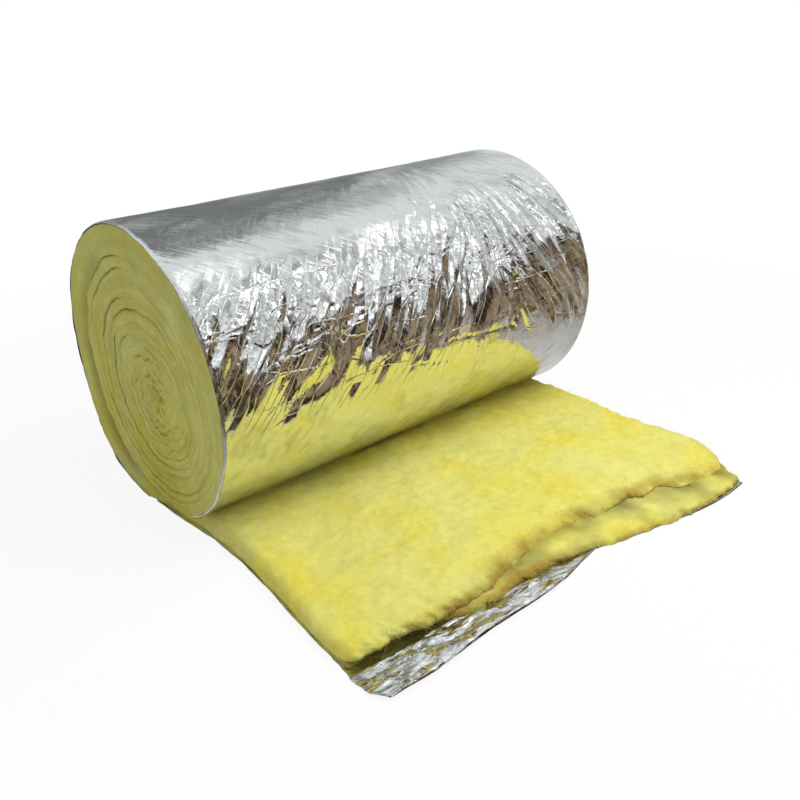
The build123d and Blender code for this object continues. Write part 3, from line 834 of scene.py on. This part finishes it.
world = bpy.data.worlds.new("world")
bpy.context.scene.world = world
world.use_nodes = True
tree = world.node_tree
add_node, link = tree.nodes.new, tree.links.new
sky = tree.nodes["Background"]
level = add_node("ShaderNodeMapRange")
level.inputs["To Min"].default_value = 0.42
level.inputs["To Max"].default_value = 1.0
sky.inputs["Color"].default_value = (1, 1, 1, 1)
link(glowing_share(tree), level.inputs["Value"])
link(level.outputs["Result"], sky.inputs["Strength"])

lamp_data = bpy.data.lights.new("overhead_lamp", "AREA")
lamp_data.shape = "RECTANGLE"
lamp_data.size, lamp_data.size_y = 2.6, 2.0
lamp_data.energy = 78
lamp = bpy.data.objects.new("overhead_lamp", lamp_data)
bpy.context.scene.collection.objects.link(lamp)
lamp.location = (0.7, -1.3, 2.8)
lamp.visible_glossy = False
lamp.rotation_mode = "QUATERNION"
lamp.rotation_quaternion = (lamp.location - Vector((0, -0.3, 0.2))).to_track_quat("Z", "Y")

card_paint = bare_paint("card")
tree = card_paint.node_tree
add_node, link = tree.nodes.new, tree.links.new
glow = add_node("ShaderNodeEmission")
place = add_node("ShaderNodeTexCoord")
split = add_node("ShaderNodeSeparateXYZ")
# Brown low down, patchy white above it, and behind the object a grey that gets darker further back
clutter = add_node("ShaderNodeTexNoise")
clutter.inputs["Scale"].default_value = 3.8
clutter.inputs["Detail"].default_value = 3.0
sky_patches = add_node("ShaderNodeTexNoise")
sky_patches.inputs["Scale"].default_value = 2.0
sky_patches.inputs["Detail"].default_value = 2.0
low = add_node("ShaderNodeValToRGB")
low.color_ramp.elements[0].position = 0.40
low.color_ramp.elements[0].color = (0.026, 0.017, 0.011, 1)
low.color_ramp.elements[1].position = 0.66
low.color_ramp.elements[1].color = (0.34, 0.250, 0.160, 1)
high = add_node("ShaderNodeValToRGB")
high.color_ramp.elements[0].position = 0.36
high.color_ramp.elements[0].color = (0.30, 0.30, 0.29, 1)
high.color_ramp.elements[1].position = 0.60
high.color_ramp.elements[1].color = (0.95, 0.98, 0.99, 1)
window = high.color_ramp.elements.new(0.66)
window.color = (2.2, 2.25, 2.3, 1)
rise = add_node("ShaderNodeMapRange")
rise.inputs["From Min"].default_value = 1.80
rise.inputs["From Max"].default_value = 1.95
sway = add_node("ShaderNodeMath")
sway.operation = "MULTIPLY_ADD"
sway.inputs[1].default_value = 1.4
higher_left = add_node("ShaderNodeMath")
higher_left.operation = "MULTIPLY_ADD"
higher_left.inputs[1].default_value = 0.20
front = add_node("ShaderNodeMix")
front.data_type = "RGBA"
away = add_node("ShaderNodeMapRange")
away.inputs["From Min"].default_value = -0.85
away.inputs["From Max"].default_value = 0.0
deep = add_node("ShaderNodeMapRange")
deep.inputs["From Min"].default_value = 0.80
deep.inputs["From Max"].default_value = 1.28
mottle = add_node("ShaderNodeMath")
mottle.operation = "MULTIPLY_ADD"
mottle.inputs[1].default_value = 0.9
rear = add_node("ShaderNodeValToRGB")
rear.color_ramp.elements[0].color = (0.74, 0.78, 0.78, 1)
rear.color_ramp.elements[1].color = (0.185, 0.195, 0.195, 1)
whole = add_node("ShaderNodeMix")
whole.data_type = "RGBA"
link(place.outputs["Object"], clutter.inputs["Vector"])
link(place.outputs["Object"], split.inputs["Vector"])
link(sky_patches.outputs["Fac"], low.inputs["Fac"])
link(place.outputs["Object"], sky_patches.inputs["Vector"])
link(sky_patches.outputs["Fac"], high.inputs["Fac"])
link(clutter.outputs["Fac"], sway.inputs[0])
link(split.outputs["Z"], sway.inputs[2])
link(split.outputs["X"], higher_left.inputs[0])
link(sway.outputs["Value"], higher_left.inputs[2])
link(higher_left.outputs["Value"], rise.inputs["Value"])
link(rise.outputs["Result"], front.inputs["Factor"])
link(low.outputs["Color"], front.inputs["A"])
link(high.outputs["Color"], front.inputs["B"])
link(split.outputs["Y"], away.inputs["Value"])
link(clutter.outputs["Fac"], mottle.inputs[0])
link(split.outputs["Y"], mottle.inputs[2])
link(mottle.outputs["Value"], deep.inputs["Value"])
link(deep.outputs["Result"], rear.inputs["Fac"])
link(away.outputs["Result"], whole.inputs["Factor"])
link(front.outputs["Result"], whole.inputs["A"])
link(rear.outputs["Color"], whole.inputs["B"])
link(whole.outputs["Result"], glow.inputs["Color"])
link(glow.outputs["Emission"], tree.nodes["Material Output"].inputs["Surface"])
card_middle, card_radius, card_levels, card_sides = (0.10, -0.45), 1.30, (0.001, 2.8), 48
ring = [
    (card_middle[0] + card_radius * math.sin(a), card_middle[1] - card_radius * math.cos(a))
    for a in np.linspace(0, 2 * math.pi, card_sides, endpoint=False)
]
card_points = [(x, y, z) for z in card_levels for x, y in ring]
card_faces = [(i, (i + 1) % card_sides, card_sides + (i + 1) % card_sides, card_sides + i) for i in range(card_sides)]
card_faces += [tuple(range(card_sides)), tuple(range(card_sides, 2 * card_sides))]

window_paint = bare_paint("window_card")
tree = window_paint.node_tree
add_node, link = tree.nodes.new, tree.links.new
glow = add_node("ShaderNodeEmission")
glow.inputs["Color"].default_value = (1.0, 1.0, 0.97, 1)
glow.inputs["Strength"].default_value = 1.25
link(glow.outputs["Emission"], tree.nodes["Material Output"].inputs["Surface"])
window_x, window_ends, window_levels = 1.28, (-0.85, -0.16), (1.75, 2.75)
window_points = [(window_x, window_ends[i], window_levels[j]) for i, j in ((0, 0), (1, 0), (1, 1), (0, 1))]
for name, points, faces, paint in (
        ("card", card_points, card_faces, card_paint), ("window_card", window_points, [(0, 1, 2, 3)], window_paint)):
    card_mesh = bpy.data.meshes.new(name)
    card_mesh.from_pydata(points, [], faces)
    card_mesh.materials.append(paint)
    card = bpy.data.objects.new(name, card_mesh)
    bpy.context.scene.collection.objects.link(card)
    card.visible_camera = False
    card.visible_diffuse = False
    card.visible_shadow = False
    card.visible_transmission = False

camera_data = bpy.data.cameras.new("camera")
camera_data.sensor_width = 36.0
camera_data.lens = 40.155
camera = bpy.data.objects.new("camera", camera_data)
bpy.context.scene.collection.objects.link(camera)
right = Vector((0.75927, -0.64884, -0.05022))
up = Vector((0.29839, 0.27852, 0.91290))
back = Vector((-0.57834, -0.70812, 0.40508))
stand = Vector((-1.3697, -1.9070, 1.1367))
camera.matrix_world = Matrix((*zip(right, up, back, stand), (0, 0, 0, 1)))
bpy.context.scene.camera = camera
bpy.context.scene.view_settings.view_transform = "Standard"
